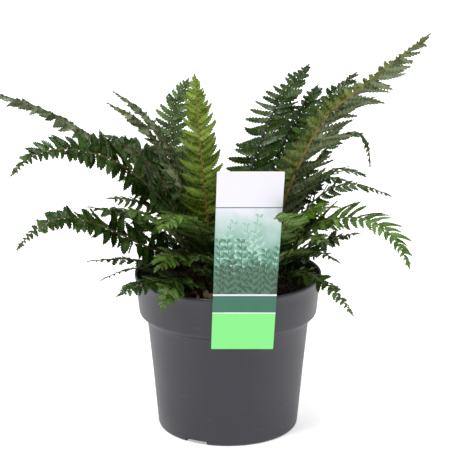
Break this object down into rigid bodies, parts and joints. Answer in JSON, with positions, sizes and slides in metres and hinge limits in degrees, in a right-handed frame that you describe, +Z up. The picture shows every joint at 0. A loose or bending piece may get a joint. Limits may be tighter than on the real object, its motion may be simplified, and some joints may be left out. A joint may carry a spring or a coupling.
{
  "type": "potted holly fern",
  "caption": "Holly fern with arching fronds cut into leaflets, standing in a tapered nursery pot with a wide collar and a plant label hung over its rim.",
  "frame": {"origin": "middle of the pot's underside, in the plane that it stands on", "axes": "+Z up along the pot's axis, -Y towards the front with the plant label, +X to the right seen from the front"},
  "size_m": [0.4548, 0.3325, 0.4223],
  "materials": {
    "pot": "satin moulded polypropylene, dark bluish grey",
    "soil": "moist peat compost, nearly black",
    "crown": "rough brown old stalk bases and scales",
    "label": "smooth printed plastic card",
    "dry_leaf": "dry papery straw-coloured leaf",
    "leaf_dark": "glossy leathery dark green leaf",
    "leaf_grey": "leathery grey-green leaf",
    "leaf_bright": "young leathery bright green leaf",
    "leaf_pale": "yellow-green leaf underside"
  },
  "bodies": {
    "root": {"pot": "pot", "soil": "soil", "crown": "crown", "plant_label": "label", "dry_leaflet_1": "dry_leaf", "dry_leaflet_2": "dry_leaf", "dry_leaflet_3": "dry_leaf", "frond_front_pale": "leaf_pale", "frond_right_long": "leaf_pale", "frond_left_broad": "leaf_dark", "frond_left_long": "leaf_grey", "frond_left_low": "leaf_dark", "frond_right_upright": "leaf_dark", "frond_right_inner": "leaf_dark", "frond_right_bright": "leaf_bright", "frond_back_left_upright": "leaf_dark", "frond_left_thin_high": "leaf_grey", "frond_left_thin_low": "leaf_grey", "frond_left_behind": "leaf_dark", "frond_right_behind": "leaf_dark", "frond_right_drooping": "leaf_dark", "frond_right_slim_back": "leaf_dark", "frond_right_level": "leaf_dark", "frond_right_short": "leaf_dark", "frond_right_low_1": "leaf_dark", "frond_right_low_2": "leaf_dark", "frond_right_over_rim": "leaf_bright", "frond_front_right": "leaf_bright", "frond_left_mid_1": "leaf_dark", "frond_left_mid_2": "leaf_bright", "frond_left_low_thin": "leaf_dark", "frond_left_wisp": "leaf_dark", "frond_front_left_rim": "leaf_dark", "frond_front_left_over": "leaf_bright", "frond_front_left_near": "leaf_bright", "frond_front_left_high": "leaf_bright", "frond_front_low": "leaf_dark", "frond_left_inner_high": "leaf_dark", "frond_left_inner_mid": "leaf_dark", "frond_centre_dark": "leaf_dark", "frond_right_inner_dark": "leaf_dark", "frond_right_mid": "leaf_bright", "frond_right_front": "leaf_bright", "frond_right_soil": "leaf_dark", "frond_back_1": "leaf_dark", "frond_back_2": "leaf_dark", "frond_back_3": "leaf_dark", "frond_back_4": "leaf_dark", "frond_back_5": "leaf_dark", "frond_back_6": "leaf_dark"}
  },
  "joints": []
}
